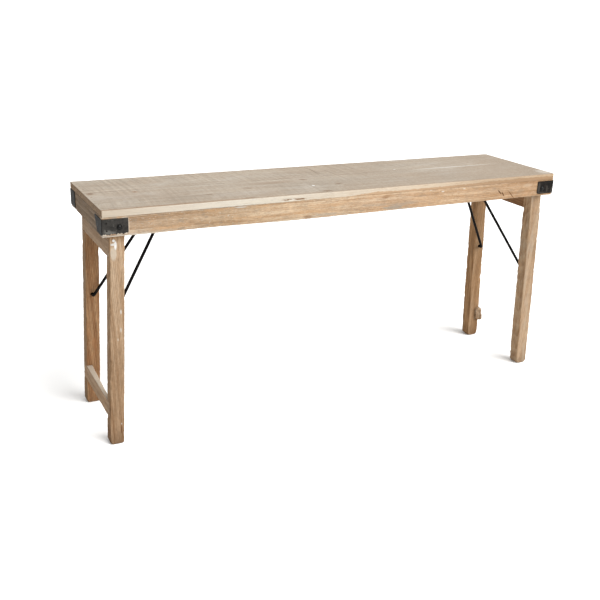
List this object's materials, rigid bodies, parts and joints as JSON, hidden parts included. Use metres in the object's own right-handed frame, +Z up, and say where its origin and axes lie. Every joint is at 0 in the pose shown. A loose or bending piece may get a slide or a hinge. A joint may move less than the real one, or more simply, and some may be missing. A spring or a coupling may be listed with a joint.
{
  "type": "folding table",
  "caption": "Long narrow plank-topped folding table: iron-strapped apron box, two hinged leg frames that fold up inside it, hooked iron rod braces.",
  "frame": {"origin": "on the floor, under the centre of the top", "axes": "+X along the length towards the end with the snapped stretcher, +Y towards the rear apron, +Z up"},
  "size_m": [1.6599, 0.4086, 0.76],
  "materials": {
    "top_wood": "dry, weathered, saw-marked, unvarnished",
    "apron_wood": "dry, worn, traces of old paint",
    "leg_wood": "dry, worn, rubbed edges",
    "strap_iron": "blackened, scuffed",
    "rod_iron": "blackened",
    "nail_steel": "dull, tarnished"
  },
  "bodies": {
    "table_top": {"board_nails": "nail_steel", "brace_staples": "rod_iron", "centre_rail": "apron_wood", "front_apron": "apron_wood", "left_end_apron": "apron_wood", "left_front_strap": "strap_iron", "left_rear_strap": "strap_iron", "pivot_bolts": "strap_iron", "pivot_nuts": "strap_iron", "pivot_washers": "strap_iron", "rear_apron": "apron_wood", "right_end_apron": "apron_wood", "right_front_strap": "strap_iron", "right_rear_strap": "strap_iron", "staple_nails": "nail_steel", "strap_nails": "strap_iron", "top_board_front": "top_wood", "top_board_rear": "top_wood"},
    "left_leg_frame": {"left_front_leg": "leg_wood", "left_rear_leg": "leg_wood", "left_upper_rail": "leg_wood", "left_stretcher": "leg_wood", "left_frame_nails": "nail_steel"},
    "right_leg_frame": {"right_front_leg": "leg_wood", "right_rear_leg": "leg_wood", "right_upper_rail": "leg_wood", "right_front_stretcher_stub": "leg_wood", "right_rear_stretcher_stub": "leg_wood", "right_frame_nails": "nail_steel"},
    "left_brace": {"left_brace": "rod_iron"},
    "right_brace": {"right_brace": "rod_iron"}
  },
  "joints": [
    {"name": "left_leg_fold", "type": "hinge", "parent": "table_top", "child": "left_leg_frame", "pos_m": [-0.777, 0, 0.709], "axis": [0, -1, 0], "range_deg": [0, 92.3]},
    {"name": "right_leg_fold", "type": "hinge", "parent": "table_top", "child": "right_leg_frame", "pos_m": [0.7758, 0, 0.709], "axis": [0, 1, 0], "range_deg": [0, 92.6]},
    {"name": "left_brace_swing", "type": "hinge", "parent": "table_top", "child": "left_brace", "pos_m": [-0.58, 0, 0.733], "axis": [0, -1, 0], "range_deg": [0, 121.4]},
    {"name": "right_brace_swing", "type": "hinge", "parent": "table_top", "child": "right_brace", "pos_m": [0.581, 0, 0.733], "axis": [0, 1, 0], "range_deg": [0, 121.2]}
  ]
}
